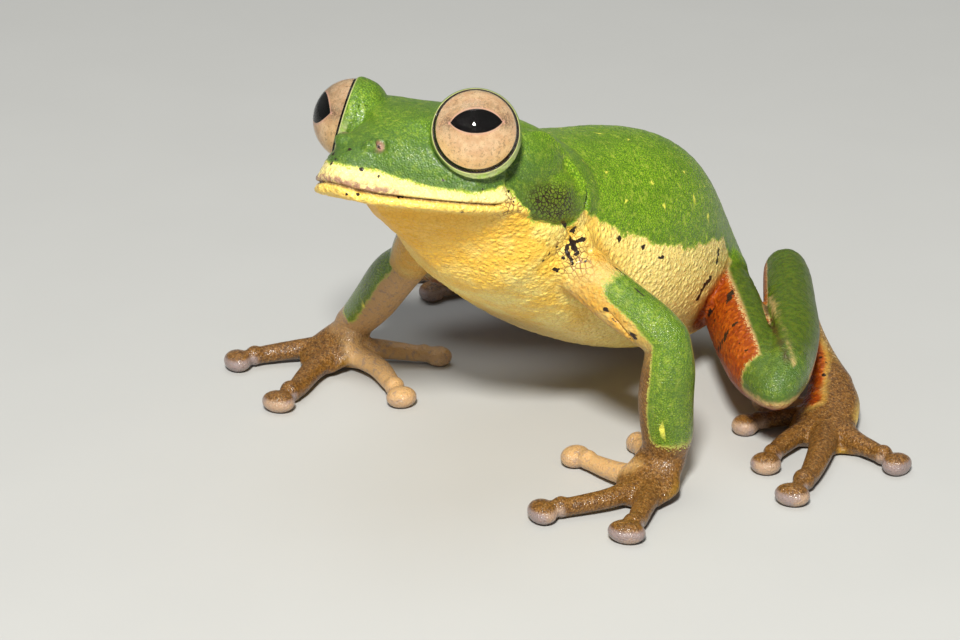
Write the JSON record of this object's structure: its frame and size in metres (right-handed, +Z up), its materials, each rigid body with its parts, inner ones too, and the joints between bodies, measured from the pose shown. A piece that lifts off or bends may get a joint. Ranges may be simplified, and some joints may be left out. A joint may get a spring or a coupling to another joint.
{
  "type": "tree frog",
  "caption": "Life-size green tree frog with a yellow belly and orange thighs, sitting with its head raised, limbs folded and fingers spread flat on the floor.",
  "frame": {"origin": "centre of the bounding box, at floor level under the pads of fingers and toes", "axes": "-Y towards the snout, +X towards the frog's left side, +Z up"},
  "size_m": [0.0508, 0.0444, 0.0282],
  "materials": {
    "green_skin": "wet satin skin, leaf green with fine grain and small yellow spots",
    "throat_skin": "moist yellow skin with fine wrinkles",
    "flash_skin": "moist orange skin with black blotches, green above",
    "hand_skin": "moist brown mottled skin, paler pads",
    "eye": "glossy, beige iris with a flat black pupil"
  },
  "bodies": {
    "root": {"eye_left": "eye", "eye_right": "eye", "finger_1_left": "hand_skin", "finger_1_right": "hand_skin", "finger_2_left": "hand_skin", "finger_2_right": "hand_skin", "finger_3_left": "hand_skin", "finger_3_right": "hand_skin", "finger_4_left": "hand_skin", "finger_4_right": "hand_skin", "forearm_left": "green_skin", "forearm_right": "green_skin", "head": "green_skin", "lower_jaw": "throat_skin", "palm_left": "hand_skin", "palm_right": "hand_skin", "shank_left": "green_skin", "shank_right": "green_skin", "sole_left": "hand_skin", "sole_right": "hand_skin", "tarsus_left": "hand_skin", "tarsus_right": "hand_skin", "thigh_left": "flash_skin", "thigh_right": "flash_skin", "toe_1_left": "hand_skin", "toe_1_right": "hand_skin", "toe_2_left": "hand_skin", "toe_2_right": "hand_skin", "toe_3_left": "hand_skin", "toe_3_right": "hand_skin", "toe_4_left": "hand_skin", "toe_4_right": "hand_skin", "toe_5_left": "hand_skin", "toe_5_right": "hand_skin", "trunk": "green_skin", "upper_arm_left": "green_skin", "upper_arm_right": "green_skin"}
  },
  "joints": []
}
